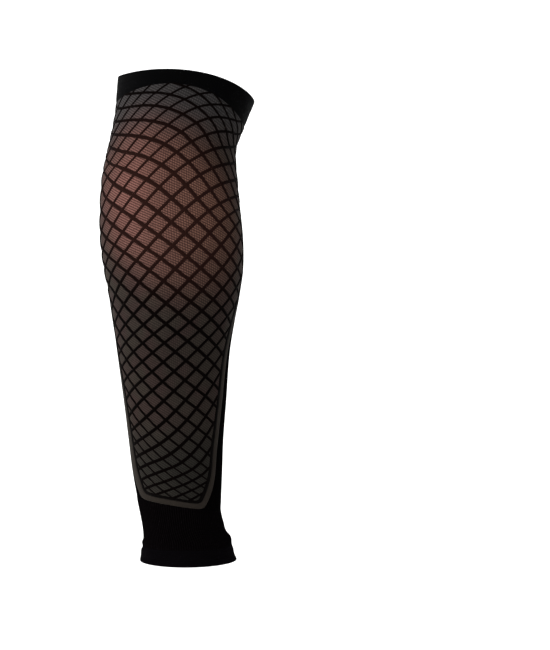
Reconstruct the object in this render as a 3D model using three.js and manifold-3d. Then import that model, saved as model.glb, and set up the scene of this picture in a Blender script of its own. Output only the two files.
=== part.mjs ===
// Calf compression sleeve, in the shape it takes on the lower leg, seen from behind.
// Millimetres, +Z up towards the knee, -Y towards the back of the calf, +X towards the inner side.
// The origin is the middle of the calf's fullest section, which is where the sleeve grips the leg.

import * as THREE from "three";
import { mergeVertices } from "three/addons/utils/BufferGeometryUtils.js";
import Module from "manifold-3d";

const wasm = await Module();
wasm.setup();

// Leg sizes, inside the sleeve
const sleeveLength = 357.4;
const kneeWidth = 97.1;
const kneeDepth = 106;
const calfWidth = 102.1;
const calfDepth = 117;
const ankleWidth = 57.9;
const ankleDepth = 70;
const calfLevel = 0.677; // share of the length at which the calf is fullest
const shinTaper = 0.07; // how much narrower the shin half of a section is than the calf half

// Walls of the knitted zones
const bandWall = 2.2;
const groundWall = 1.2;
const netRise = 0.7; // the net's ridges stand this far out of the ground knit
const trimWall = 1.6;
const shinWall = 1.4;
const cuffWall = 1.6;
const hemWall = 2.2;
const seamGap = 0.3; // between neighbouring zones

// Top band: its rim and its lower edge dip towards both sides of the leg and lean to the inner side
const bandMiddle = 9.7;
const bandSide = 18.5;
const bandLean = 0.5;
const rimDip = 8.4;
const rimLean = 7.4;
const rimCorner = 2.2; // how much the rim rises again at the outer side of the leg
const rimShoulder = 0.72; // how much fuller the rim's arch is towards the inner side

// Ankle end
const hemHeight = 10.7;
const hemSag = 1; // how much lower the hem's foot hangs behind and in front than at the sides
const cuffHeight = 42.9; // hem included
const cuffLean = 5.3;

// Framed panel: its trim is narrower under the net than beside it
const panelMiddle = -10.4; // degrees round the leg from straight behind
const stripeSide = 10.8;
const stripeSkew = 0.5; // how much wider the outer side's stripe is, and narrower the inner side's
const stripeSquareness = 3; // 1 rounds the stripe's inner corners most
const stripeFoot = 4.2;
const outlineSide = 3.2;
const outlineFoot = 1.8;
const shinPanelDrop = 64; // from the rim down to the top of the plain shin panel
const shinTip = 1.5; // the shin panel's points beside the cuff end where they get lower than this

// Net
const netColumns = 16; // round the whole leg
const lineShare = 0.25; // a line's width as a share of a diamond's

const girths = {
  ankle: { width: ankleWidth, depth: ankleDepth },
  calf: { width: calfWidth, depth: calfDepth },
  knee: { width: kneeWidth, depth: kneeDepth },
};

// Sections of the leg from the hem up. height is a share of the sleeve's length; width and depth are
// shares of the girth that the section follows; inward (+X) and shinward (+Y) move its middle, as
// shares of the calf's width and depth.
const sections = [
  { height: -0.02, follows: "ankle", width: 1.165, depth: 1.16, inward: 0.121, shinward: 0.112 },
  { height: 0, follows: "ankle", width: 1.141, depth: 1.143, inward: 0.118, shinward: 0.111 },
  { height: 0.023, follows: "ankle", width: 1.111, depth: 1.1, inward: 0.112, shinward: 0.109 },
  { height: 0.044, follows: "ankle", width: 1.057, depth: 1.057, inward: 0.107, shinward: 0.107 },
  { height: 0.069, follows: "ankle", width: 0.972, depth: 1.011, inward: 0.078, shinward: 0.107 },
  { height: 0.095, follows: "ankle", width: 0.976, depth: 1, inward: 0.063, shinward: 0.107 },
  { height: 0.127, follows: "ankle", width: 1.022, depth: 1.014, inward: 0.053, shinward: 0.106 },
  { height: 0.189, follows: "ankle", width: 1.104, depth: 1.064, inward: 0.038, shinward: 0.1 },
  { height: 0.251, follows: "calf", width: 0.66, depth: 0.675, inward: 0.029, shinward: 0.09 },
  { height: 0.334, follows: "calf", width: 0.716, depth: 0.735, inward: 0.023, shinward: 0.073 },
  { height: 0.438, follows: "calf", width: 0.791, depth: 0.82, inward: 0.013, shinward: 0.051 },
  { height: 0.5, follows: "calf", width: 0.854, depth: 0.889, inward: 0.017, shinward: 0.034 },
  { height: 0.552, follows: "calf", width: 0.914, depth: 0.94, inward: 0.022, shinward: 0.015 },
  { height: 0.604, follows: "calf", width: 0.972, depth: 0.983, inward: 0.017, shinward: 0.003 },
  { height: 0.666, follows: "calf", width: 1, depth: 1, inward: 0.003, shinward: 0 },
  { height: 0.728, follows: "calf", width: 0.983, depth: 0.991, inward: -0.009, shinward: 0.006 },
  { height: 0.79, follows: "calf", width: 0.951, depth: 0.97, inward: -0.013, shinward: 0.018 },
  { height: 0.832, follows: "calf", width: 0.913, depth: 0.949, inward: -0.006, shinward: 0.027 },
  { height: 0.863, follows: "knee", width: 0.942, depth: 1.028, inward: 0.01, shinward: 0.033 },
  { height: 0.894, follows: "knee", width: 0.963, depth: 1.014, inward: 0.043, shinward: 0.038 },
  { height: 0.925, follows: "knee", width: 0.98, depth: 1.005, inward: 0.07, shinward: 0.042 },
  { height: 0.954, follows: "knee", width: 1.012, depth: 1, inward: 0.098, shinward: 0.046 },
  { height: 1, follows: "knee", width: 1.052, depth: 0.99, inward: 0.132, shinward: 0.051 },
  { height: 1.03, follows: "knee", width: 1.076, depth: 0.985, inward: 0.154, shinward: 0.054 },
];

// Rows of the net, counted down from the band. up is the height of the row's highest place, dip its
// drop a quarter turn from there and lean its drop towards the inner side, as shares of the net's
// length. crest is the angle of the highest place and turn that of the middle crossing, in degrees,
// and crowd is how far the knit draws the other crossings towards the middle of the calf.
const netRows = [
  { row: -5, up: 1.085, dip: 0.06, crest: 0, lean: 0, turn: 0, crowd: 0 },
  { row: -2, up: 0.992, dip: 0.078, crest: 0, lean: 0, turn: 0, crowd: 0 },
  { row: 0, up: 0.935, dip: 0.082, crest: 5, lean: 0, turn: 2.9, crowd: 0 },
  { row: 1, up: 0.902, dip: 0.08, crest: 11, lean: 0.003, turn: 5, crowd: 0 },
  { row: 2, up: 0.864, dip: 0.082, crest: 18, lean: 0.01, turn: 7.6, crowd: 1 },
  { row: 3, up: 0.82, dip: 0.074, crest: 22, lean: 0.017, turn: 7.6, crowd: 2 },
  { row: 4, up: 0.768, dip: 0.066, crest: 18, lean: 0.009, turn: 6.1, crowd: 4 },
  { row: 5, up: 0.708, dip: 0.042, crest: 11, lean: -0.005, turn: 4.2, crowd: 6.2 },
  { row: 6, up: 0.653, dip: 0.025, crest: 9, lean: -0.013, turn: 3, crowd: 7.8 },
  { row: 8, up: 0.548, dip: 0.002, crest: 8, lean: -0.008, turn: 3.8, crowd: 7.3 },
  { row: 10, up: 0.448, dip: -0.01, crest: 0, lean: -0.01, turn: 6.5, crowd: 5.5 },
  { row: 12, up: 0.36, dip: -0.014, crest: 0, lean: -0.008, turn: 4.4, crowd: 3 },
  { row: 14, up: 0.27, dip: -0.024, crest: 0, lean: -0.004, turn: 2, crowd: 0.5 },
  { row: 16, up: 0.181, dip: -0.026, crest: 0, lean: 0.005, turn: 4.6, crowd: 0 },
  { row: 18, up: 0.107, dip: -0.022, crest: 0, lean: 0.02, turn: 8.4, crowd: 0 },
  { row: 19, up: 0.08, dip: -0.014, crest: 0, lean: 0.022, turn: 9.5, crowd: 0 },
  { row: 20, up: 0.054, dip: -0.014, crest: 0, lean: 0.018, turn: 8.8, crowd: 0 },
  { row: 21, up: 0.031, dip: -0.012, crest: 0, lean: 0.014, turn: 7, crowd: 0 },
  { row: 23, up: -0.015, dip: -0.012, crest: 0, lean: 0.013, turn: 6, crowd: 0 },
];

// Edge of the framed panel, from the middle of its foot up one side and over the shin panel's top:
// span is the angle from the panel's middle, rise the share of the way from cuff to shin panel top.
const panelEdge = [
  { span: 0, rise: 0 },
  { span: 30, rise: 0 },
  { span: 41.5, rise: 0.002 },
  { span: 48, rise: 0.008 },
  { span: 52, rise: 0.02 },
  { span: 57.5, rise: 0.04 },
  { span: 62.5, rise: 0.065 },
  { span: 66, rise: 0.09 },
  { span: 68, rise: 0.12 },
  { span: 69, rise: 0.15 },
  { span: 70.3, rise: 0.18 },
  { span: 72.3, rise: 0.21 },
  { span: 74, rise: 0.26 },
  { span: 76.3, rise: 0.32 },
  { span: 78.8, rise: 0.38 },
  { span: 81.4, rise: 0.43 },
  { span: 84, rise: 0.47 },
  { span: 86.2, rise: 0.5 },
  { span: 88.6, rise: 0.53 },
  { span: 91.4, rise: 0.56 },
  { span: 94, rise: 0.585 },
  { span: 96.7, rise: 0.61 },
  { span: 101, rise: 0.67 },
  { span: 103, rise: 0.755 },
  { span: 106, rise: 0.828 },
  { span: 110, rise: 0.88 },
  { span: 118, rise: 0.94 },
  { span: 133, rise: 0.978 },
  { span: 155, rise: 0.996 },
  { span: 180, rise: 1 },
];

// Faceting
const ringColumns = 40;
const shinRows = 10;
const edgeSteps = 36; // along half of the panel's edge

const legFoot = -calfLevel * sleeveLength;
const legTop = legFoot + sleeveLength;

// A smooth curve through a table's rows, giving the named columns at any value of its key column.
function through(table, key, columns) {
  const keys = table.map((row) => row[key]);
  const values = table.flatMap((row) => columns.map((column) => row[column]));
  const curve = new THREE.CubicInterpolant(keys, values, columns.length);
  return (at) => Array.from(curve.evaluate(at));
}

const sectionAt = through(
  sections.map(({ height, follows, width, depth, inward, shinward }) => ({
    height,
    halfWidth: (width * girths[follows].width) / 2,
    halfDepth: (depth * girths[follows].depth) / 2,
    x: inward * calfWidth,
    y: shinward * calfDepth,
  })),
  "height",
  ["halfWidth", "halfDepth", "x", "y"],
);

const netRowAt = through(netRows, "row", ["up", "dip", "crest", "lean", "turn", "crowd"]);

// Leg surface: turn is in radians from straight behind, positive towards the inner side.
function legPoint(turn, z, reach = 1) {
  const [halfWidth, halfDepth, x, y] = sectionAt((z - legFoot) / sleeveLength);
  const side = Math.sin(turn) * (1 + shinTaper * Math.cos(turn));
  return new THREE.Vector3(x + reach * halfWidth * side, y - reach * halfDepth * Math.cos(turn), z);
}

function onLeg(turn, z, out) {
  const step = 0.01;
  const across = legPoint(turn + step, z).sub(legPoint(turn - step, z));
  const up = legPoint(turn, z + 1).sub(legPoint(turn, z - 1));
  const normal = across.cross(up).normalize();
  return legPoint(turn, z).addScaledVector(normal, out);
}

function millimetresPerRadian(turn, z) {
  const step = 0.01;
  return legPoint(turn + step, z).distanceTo(legPoint(turn - step, z)) / (2 * step);
}

// Heights of the zones' edges round the leg
const squareSine = (turn) => Math.sin(turn) ** 2;
const rimCurve = (turn) => legTop - rimLean * Math.sin(turn) - rimDip * squareSine(turn);
const rimEdge = (turn) =>
  rimCurve(turn) +
  rimCorner * Math.max(0, -Math.sin(turn)) ** 8 +
  rimShoulder * (Math.cos(turn) * (1 + Math.sin(turn))) ** 2;
const bandEdge = (turn) =>
  rimCurve(turn) -
  bandMiddle -
  bandLean * Math.sin(turn) -
  (bandSide - bandMiddle) * squareSine(turn);
const footEdge = (turn) => legFoot - hemSag * Math.cos(turn) ** 2;
const hemEdge = () => legFoot + hemHeight;
const cuffEdge = (turn) => legFoot + cuffHeight - cuffLean * Math.sin(turn);

// A closed skin of points and flat faces, each face listed anticlockwise as seen from outside.
class Skin {
  positions = [];
  indices = [];

  point(vector) {
    this.positions.push(vector.x, vector.y, vector.z);
    return this.positions.length / 3 - 1;
  }

  face(first, ...rest) {
    for (let i = 1; i < rest.length; i++) this.indices.push(first, rest[i - 1], rest[i]);
  }

  geometry() {
    return new THREE.BufferGeometry()
      .setAttribute("position", new THREE.Float32BufferAttribute(this.positions, 3))
      .setIndex(this.indices);
  }
}

// Each station holds the same number of points, in order round a loop, and the last joins the first.
function sweptSkin(stations) {
  const skin = new Skin();
  const loops = stations.map((loop) => loop.map((vector) => skin.point(vector)));
  loops.forEach((loop, i) => {
    const next = loops[(i + 1) % loops.length];
    loop.forEach((corner, j) => {
      const k = (j + 1) % loop.length;
      skin.face(corner, next[j], next[k], loop[k]);
    });
  });
  return skin.geometry();
}

function turns(count) {
  return Array.from({ length: count }, (_, i) => (2 * Math.PI * i) / count);
}

// A knitted ring between two edges. profile lists its section's corners, anticlockwise with the
// leg on the left: along runs from the lower edge, 0, to the upper one, 1, and out from the leg.
function ringGeometry(lowerEdge, upperEdge, profile) {
  return sweptSkin(
    turns(ringColumns).map((turn) => {
      const low = lowerEdge(turn);
      const high = upperEdge(turn);
      return profile.map(({ along, out }) => onLeg(turn, low + along * (high - low), out));
    }),
  );
}

// Panel edge and the trim beside it

const shinPanelTop = legTop - shinPanelDrop;

function panelEdgeStations() {
  const steepness = 2; // spreads the stations evenly over the foot and the long sides
  const half = new THREE.CatmullRomCurve3(
    panelEdge.map(({ span, rise }) => new THREE.Vector3(span, steepness * 100 * rise, 0)),
    false,
    "centripetal",
  ).getSpacedPoints(edgeSteps);
  const rightHalf = half.map(({ x, y }) => ({ span: x, rise: y / (steepness * 100) }));
  const leftHalf = rightHalf.slice(1, -1).reverse().map(({ span, rise }) => ({ span: -span, rise }));
  return [...rightHalf, ...leftHalf].map(({ span, rise }) => {
    const turn = THREE.MathUtils.degToRad(panelMiddle + span);
    const start = cuffEdge(turn) + seamGap;
    return { span: THREE.MathUtils.degToRad(span), turn, z: start + rise * (shinPanelTop - start) };
  });
}

// Moves an edge into the framed panel: by foot under the net, by side beside it.
// A skew makes the outer side's step longer and the inner side's shorter.
function moved(edge, side, foot, skew = 0, squareness = 1) {
  return edge.map(({ span, turn, z }) => {
    const step = side * (1 - skew * Math.sin(span));
    const sideways = (step * Math.sin(span) ** squareness) / millimetresPerRadian(turn, z);
    const upward = foot + (side - foot) * Math.max(0, -Math.cos(span));
    return { span: span - sideways, turn: turn - sideways, z: z + upward };
  });
}

function trimGeometry(outerEdge, innerEdge) {
  return sweptSkin(
    outerEdge.map((outer, i) => {
      const inner = innerEdge[i];
      return [
        onLeg(outer.turn, outer.z, 0),
        onLeg(outer.turn, outer.z, trimWall),
        onLeg(inner.turn, inner.z, trimWall),
        onLeg(inner.turn, inner.z, 0),
      ];
    }),
  );
}

const stripeOuter = panelEdgeStations();
const stripeInner = moved(stripeOuter, stripeSide, stripeFoot, stripeSkew, stripeSquareness);
const outlineOuter = moved(stripeInner, seamGap, seamGap);
const outlineInner = moved(outlineOuter, outlineSide, outlineFoot);
const netEdge = moved(outlineInner, seamGap, seamGap);

// Cutting with solids

function solidOf(geometry) {
  const merged = mergeVertices(geometry, 1e-4);
  return new wasm.Manifold(
    new wasm.Mesh({
      numProp: 3,
      vertProperties: merged.attributes.position.array,
      triVerts: new Uint32Array(merged.index.array),
    }),
  );
}

function geometryOf(solid) {
  const { vertProperties, triVerts } = solid.getMesh();
  return new THREE.BufferGeometry()
    .setAttribute("position", new THREE.BufferAttribute(vertProperties, 3))
    .setIndex(new THREE.BufferAttribute(triVerts, 1));
}

// All the space above an edge, cut square to the leg's surface, from inside the leg to outside the sleeve.
function above(edge) {
  const depth = 4;
  const inside = 0.5;
  const outside = 2.2;
  const top = legTop + 0.1 * sleeveLength;
  return solidOf(
    sweptSkin(
      edge.map(({ turn, z }) => [
        onLeg(turn, z, -depth),
        onLeg(turn, z, depth),
        legPoint(turn, top, outside),
        legPoint(turn, top, inside),
      ]),
    ),
  );
}

function edgeFrom(height) {
  return turns(ringColumns).map((turn) => ({ turn, z: height(turn) }));
}

// Net panel: diamonds of ground knit between raised lines

const netStart = legFoot + cuffHeight;
const netLength = legTop - netStart;
const netTop = netRows[0].row; // first and last row of crossings, before the panel's edges cut them
const netFoot = netRows.at(-1).row;

// column counts crossings round the leg and row counts them down it; halves lie between.
function netPoint(column, row, out) {
  const [up, dip, crest, lean, middle, crowd] = netRowAt(row);
  const even = (2 * Math.PI * column) / netColumns;
  const turn = even + THREE.MathUtils.degToRad(middle - crowd * Math.sin(even));
  const fromCrest = turn - THREE.MathUtils.degToRad(crest);
  const height = up - dip * squareSine(fromCrest) - lean * Math.sin(turn);
  return onLeg(turn, netStart + height * netLength, out);
}

function netGeometry() {
  const skin = new Skin();
  const levels = 2 * (netFoot - netTop);
  const ridge = groundWall + netRise;
  const floorReach = (1 - lineShare) / 2;
  const offsetOf = (level) => (level % 2 ? 0.5 : 0);
  const rowOf = (level) => netTop + level / 2;
  const crossings = (out) =>
    Array.from({ length: levels + 1 }, (_, level) =>
      Array.from({ length: netColumns }, (_, i) =>
        skin.point(netPoint(i + offsetOf(level), rowOf(level), out)),
      ),
    );
  const outer = crossings(ridge);
  const inner = crossings(0);

  // The crossing beside, above or below the diamond that starts at crossing i of a level.
  const at = (grid, level, i) => grid[level][(i + netColumns) % netColumns];
  const cornersOf = (grid, level, i) => {
    const beside = i + (level % 2);
    return {
      left: at(grid, level, i),
      right: at(grid, level, i + 1),
      top: level > 0 ? at(grid, level - 1, beside) : undefined,
      bottom: level < levels ? at(grid, level + 1, beside) : undefined,
    };
  };

  for (let level = 0; level <= levels; level++) {
    for (let i = 0; i < netColumns; i++) {
      const out = cornersOf(outer, level, i);
      const back = cornersOf(inner, level, i);
      if (level === 0) {
        skin.face(out.left, out.bottom, out.right);
        skin.face(back.left, back.right, back.bottom);
        skin.face(out.left, out.right, back.right, back.left);
        continue;
      }
      if (level === levels) {
        skin.face(out.left, out.right, out.top);
        skin.face(back.left, back.top, back.right);
        skin.face(out.left, back.left, back.right, out.right);
        continue;
      }
      const column = i + offsetOf(level) + 0.5;
      const floorPoint = (across, down) =>
        skin.point(
          netPoint(column + across * floorReach, rowOf(level) + down * floorReach, groundWall),
        );
      const floor = {
        left: floorPoint(-1, 0),
        bottom: floorPoint(0, 1),
        right: floorPoint(1, 0),
        top: floorPoint(0, -1),
      };
      skin.face(floor.top, floor.left, floor.bottom, floor.right);
      skin.face(out.left, out.bottom, floor.bottom, floor.left);
      skin.face(out.bottom, out.right, floor.right, floor.bottom);
      skin.face(out.right, out.top, floor.top, floor.right);
      skin.face(out.top, out.left, floor.left, floor.top);
      skin.face(back.top, back.right, back.bottom, back.left);
    }
  }
  return skin.geometry();
}

function netPanel() {
  const belowBand = edgeFrom((turn) => bandEdge(turn) - seamGap);
  return geometryOf(
    solidOf(netGeometry()).intersect(above(netEdge)).subtract(above(belowBand)),
  );
}

// Plain knit over the shin, between the two sides of the framed panel

function shinPanel() {
  const wall = { low: 0, high: shinWall };
  const reach = shinPanelTop + 0.05 * sleeveLength;
  const start = legFoot + cuffHeight / 2;
  const heights = Array.from({ length: shinRows + 1 }, (_, i) => i / shinRows);
  const profile = [
    ...heights.map((along) => ({ along, out: wall.high })),
    ...heights.toReversed().map((along) => ({ along, out: wall.low })),
  ];
  const tube = ringGeometry(
    () => start,
    () => reach,
    profile,
  );
  const aboveCuff = edgeFrom((turn) => cuffEdge(turn) + seamGap);
  const besideStripe = moved(stripeOuter, -seamGap, -seamGap).map(({ turn, z }) => ({
    turn,
    z: z < cuffEdge(turn) + shinTip ? cuffEdge(turn) - shinTip : z,
  }));
  return geometryOf(solidOf(tube).intersect(above(aboveCuff)).subtract(above(besideStripe)));
}

// Rings with rolled or plain edges

const bandProfile = [
  { along: 0, out: 0 },
  { along: 0, out: 0.8 * bandWall },
  { along: 0.06, out: bandWall },
  { along: 0.5, out: bandWall },
  { along: 0.93, out: bandWall },
  { along: 1, out: 0.6 * bandWall },
  { along: 1, out: 0.25 * bandWall },
  { along: 0.97, out: 0 },
];

const cuffProfile = [
  { along: 0, out: 0 },
  { along: 0, out: cuffWall },
  { along: 0.25, out: 1.35 * cuffWall },
  { along: 0.4, out: cuffWall },
  { along: 0.7, out: cuffWall },
  { along: 1, out: cuffWall },
  { along: 1, out: 0 },
  { along: 0.5, out: 0 },
];

const hemProfile = [
  { along: 0.04, out: 0 },
  { along: 0, out: 0.3 * hemWall },
  { along: 0, out: 0.75 * hemWall },
  { along: 0.12, out: hemWall },
  { along: 0.8, out: 0.95 * hemWall },
  { along: 1, out: 0.65 * hemWall },
  { along: 1, out: 0 },
];

const black = { color: 0x0b0b0d, roughness: 0.85, metalness: 0 };
const charcoal = { color: 0x3d3a38, roughness: 0.9, metalness: 0 };

const pieces = [
  { name: "top_band", geometry: ringGeometry(bandEdge, rimEdge, bandProfile), finish: black },
  { name: "net_panel", geometry: netPanel(), finish: charcoal },
  { name: "panel_outline", geometry: trimGeometry(outlineOuter, outlineInner), finish: black },
  { name: "panel_stripe", geometry: trimGeometry(stripeOuter, stripeInner), finish: charcoal },
  { name: "shin_panel", geometry: shinPanel(), finish: black },
  {
    name: "ankle_cuff",
    geometry: ringGeometry((turn) => hemEdge(turn) + seamGap, cuffEdge, cuffProfile),
    finish: black,
  },
  { name: "hem", geometry: ringGeometry(footEdge, hemEdge, hemProfile), finish: black },
];

const sleeve = new THREE.Group();
sleeve.name = "calf_sleeve";
for (const { name, geometry, finish } of pieces) {
  geometry.computeVertexNormals();
  const mesh = new THREE.Mesh(geometry, new THREE.MeshStandardMaterial(finish));
  mesh.name = name;
  sleeve.add(mesh);
}

export default sleeve;
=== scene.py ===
# Looks of the calf compression sleeve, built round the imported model.
# Sizes are in millimetres and become metres when a mesh is made. +Z up, -Y towards the back of the calf.

import math
from collections import namedtuple

import bpy
import numpy as np
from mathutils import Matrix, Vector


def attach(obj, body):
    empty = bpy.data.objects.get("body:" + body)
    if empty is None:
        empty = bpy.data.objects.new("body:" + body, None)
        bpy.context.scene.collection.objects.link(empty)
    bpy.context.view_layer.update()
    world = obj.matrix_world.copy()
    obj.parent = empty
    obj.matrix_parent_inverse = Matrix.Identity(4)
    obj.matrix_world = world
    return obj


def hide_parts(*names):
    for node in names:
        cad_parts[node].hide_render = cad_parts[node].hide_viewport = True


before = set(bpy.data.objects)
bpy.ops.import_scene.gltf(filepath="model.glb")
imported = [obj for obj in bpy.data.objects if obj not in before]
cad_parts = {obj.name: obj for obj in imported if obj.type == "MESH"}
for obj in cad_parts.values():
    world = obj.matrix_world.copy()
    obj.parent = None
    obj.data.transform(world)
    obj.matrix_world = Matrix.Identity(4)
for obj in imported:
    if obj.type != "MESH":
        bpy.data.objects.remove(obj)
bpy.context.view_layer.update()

MM = 0.001

# Leg sizes, inside the sleeve
SLEEVE_LENGTH = 357.4
KNEE_WIDTH = 97.1
KNEE_DEPTH = 106
CALF_WIDTH = 102.1
CALF_DEPTH = 117
ANKLE_WIDTH = 57.9
ANKLE_DEPTH = 70
CALF_LEVEL = 0.677  # share of the length at which the calf is fullest
SHIN_TAPER = 0.07  # how much narrower the shin half of a section is than the calf half

# Walls of the knitted zones
BAND_WALL = 2.2
BAND_FOOT_WALL = 1.5  # at the band's lower edge
GROUND_WALL = 1.2
LINE_RISE = 0.62  # the net's lines stand this far out of the ground knit
OUTLINE_WALL = 1.7
STRIPE_WALL = 1.4
SHIN_WALL = 1.4
CUFF_WALL = 1.6
HEM_WALL = 2.2
SEAM_GAP = 0.3  # between neighbouring zones of the model
SEAM_SHOWN = 0.12  # between the cuff and the zones above it, as made here
SEAM_TUCK = 0.25  # how far a wall reaches under the trim beside it, so that no light shows through
BAND_TUCK = 0.6  # how far the net's ground knit reaches under the band

# Top band
BAND_MIDDLE = 9.7  # height of the band behind the calf
BAND_SIDE = 18.5  # and at both sides
BAND_LEAN = 0.5  # how much of it moves from the outer to the inner side
RIM_DIP = 8.4  # how much lower the rim lies at both sides
RIM_LEAN = 7.4  # and how much lower again at the inner one, and higher at the outer one
RIM_CORNER = 2.2  # raises the rim at the outer side
RIM_SHOULDER = 0.72  # raises it between the middle and the inner side
BAND_FOLD_PLACE = 0.56  # a faint fold round the band, as a share of the way up it
BAND_FOLD_HALF = 0.035
BAND_FOLD_DEPTH = 0.12

# Ankle end
HEM_HEIGHT = 10.7
HEM_SAG = 1  # how much lower its foot lies at the back and the shin than at the sides
CUFF_HEIGHT = 42.9  # hem included
CUFF_LEAN = 5.3  # how much lower the cuff's rim lies at the inner side, and higher at the outer one
RIBS = 122  # round the cuff
RIB_RISE = 0.16
HEM_FLARE = 0.7  # how much further the hem's foot stands out
HEM_TUCK = 0.5  # how much its rim is drawn in under the cuff
HEM_LINES = (1.5, 2.7, 3.9)  # heights of the fine lines round the hem
HEM_LINE_HALF = 0.28
HEM_LINE_DEPTH = 0.17
FOLD_SQUARENESS = 0.5  # 1 makes the rolled edges of the rings round, less makes them squarer

# Framed panel
PANEL_MIDDLE = -10.4  # degrees round the leg from straight behind
STRIPE_SIDE = 10.8
STRIPE_SKEW = 0.5  # share of its width that moves from the inner to the outer side
STRIPE_SQUARENESS = 3  # more makes its inner corners squarer
STRIPE_FOOT = 4.2
STRIPE_ROUNDING = 0.45  # how much lower its edges lie than its middle
OUTLINE_SIDE = 3.2
OUTLINE_FOOT = 1.8
OUTLINE_ROUNDING = 0.5
SHIN_PANEL_DROP = 64  # from the leg's top down to the top of the shin panel

# Net
NET_COLUMNS = 16
LINE_TUCK = 0.9  # how far a line's end reaches under the outline or the band
LINE_TAPER = 1.6  # a line has its full height this far inside the panel
LINE_END_HEIGHT = 0.25  # height of a line's end, as a share of its full height
RISING_HEIGHT = 0.92  # height of the rising lines, as a share of the falling ones'

# Knit, in stitches
WALES = 190  # round the leg
COURSE = 1.85  # height of one course
COURSE_DROP = 78  # courses that the knit falls in one turn round the leg

# Fineness of the meshes: columns go round the leg and rows go up it
BAND_COLUMNS = 260
BAND_ROWS = 22
COLUMNS_PER_RIB = 6
CUFF_ROWS = 44
HEM_COLUMNS = 300
HEM_ROWS = 60
LINING_ROWS = 12  # on the inner face of a ring
ROLL_STEPS = 12  # over the rolled edge of a ring
SHEET_COLUMNS = 180
GROUND_ROWS = 150
SHIN_ROWS = 120
SHEET_MARGIN = 2
EDGE_STEPS = 150  # half-way round the framed panel
CURVE_STEPS = 24  # from one point of the panel's edge to the next
LINE_STEPS = 8  # along a line from one crossing to the next
STRIPE_COLUMNS = 13
OUTLINE_COLUMNS = 9
SHARP_ANGLE = math.radians(55)
SMALL_TURN = 0.01  # radians, for slopes measured over a short stretch
SMALL_RISE = 1  # the same up the leg

# Picture
PHOTO_WIDTH = 550
PHOTO_HEIGHT = 650
PIXEL = 0.74  # millimetres of the leg's middle plane in one pixel
ORIGIN_COLUMN = 171.6  # the pixel where the photo shows the model's origin
ORIGIN_ROW = 235
CAMERA_DISTANCE = 1500
SENSOR = 36

# Studio, in metres
FLOOR_DROP = 0.085  # from the hem down to the floor
STUDIO_HALF = 4.0
WALL_PLACE = 3.2
COVE = 1.2
AIR_STRENGTH = 0.75

Light = namedtuple("Light", "name place size watts aim")
LEG_MIDDLE = (0, 0, -0.06)
LIGHTS = [
    Light("key", (-1.3, -1.5, 0.5), (1.2, 1.6), 26, LEG_MIDDLE),
    Light("left_edge", (-1.2, 0.35, 0.1), (0.8, 1.4), 12, LEG_MIDDLE),
    Light("backdrop", (0, 1.0, 1.6), (2.5, 1.0), 60, (0, 3.0, 0.2)),
]

LEG_FOOT = -CALF_LEVEL * SLEEVE_LENGTH
LEG_TOP = LEG_FOOT + SLEEVE_LENGTH
SHIN_PANEL_TOP = LEG_TOP - SHIN_PANEL_DROP
NET_START = LEG_FOOT + CUFF_HEIGHT
NET_LENGTH = LEG_TOP - NET_START

# Girths that the sections follow
GIRTHS = {
    "ankle": (ANKLE_WIDTH, ANKLE_DEPTH),
    "calf": (CALF_WIDTH, CALF_DEPTH),
    "knee": (KNEE_WIDTH, KNEE_DEPTH),
}

# Sections of the leg from the hem up. height is a share of the sleeve's length, width and depth are
# shares of the girth that the section follows, inward (+X) and shinward (+Y) are shares of the
# calf's width and depth.
Section = namedtuple("Section", "height follows width depth inward shinward")
SECTIONS = [
    Section(-0.02, "ankle", 1.165, 1.16, 0.121, 0.112),
    Section(0, "ankle", 1.141, 1.143, 0.118, 0.111),
    Section(0.023, "ankle", 1.111, 1.1, 0.112, 0.109),
    Section(0.044, "ankle", 1.057, 1.057, 0.107, 0.107),
    Section(0.069, "ankle", 0.972, 1.011, 0.078, 0.107),
    Section(0.095, "ankle", 0.976, 1, 0.063, 0.107),
    Section(0.127, "ankle", 1.022, 1.014, 0.053, 0.106),
    Section(0.189, "ankle", 1.104, 1.064, 0.038, 0.1),
    Section(0.251, "calf", 0.66, 0.675, 0.029, 0.09),
    Section(0.334, "calf", 0.716, 0.735, 0.023, 0.073),
    Section(0.438, "calf", 0.791, 0.82, 0.013, 0.051),
    Section(0.5, "calf", 0.854, 0.889, 0.017, 0.034),
    Section(0.552, "calf", 0.914, 0.94, 0.022, 0.015),
    Section(0.604, "calf", 0.972, 0.983, 0.017, 0.003),
    Section(0.666, "calf", 1, 1, 0.003, 0),
    Section(0.728, "calf", 0.983, 0.991, -0.009, 0.006),
    Section(0.79, "calf", 0.951, 0.97, -0.013, 0.018),
    Section(0.832, "calf", 0.913, 0.949, -0.006, 0.027),
    Section(0.863, "knee", 0.942, 1.028, 0.01, 0.033),
    Section(0.894, "knee", 0.963, 1.014, 0.043, 0.038),
    Section(0.925, "knee", 0.98, 1.005, 0.07, 0.042),
    Section(0.954, "knee", 1.012, 1, 0.098, 0.046),
    Section(1, "knee", 1.052, 0.99, 0.132, 0.051),
    Section(1.03, "knee", 1.076, 0.985, 0.154, 0.054),
]

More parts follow.
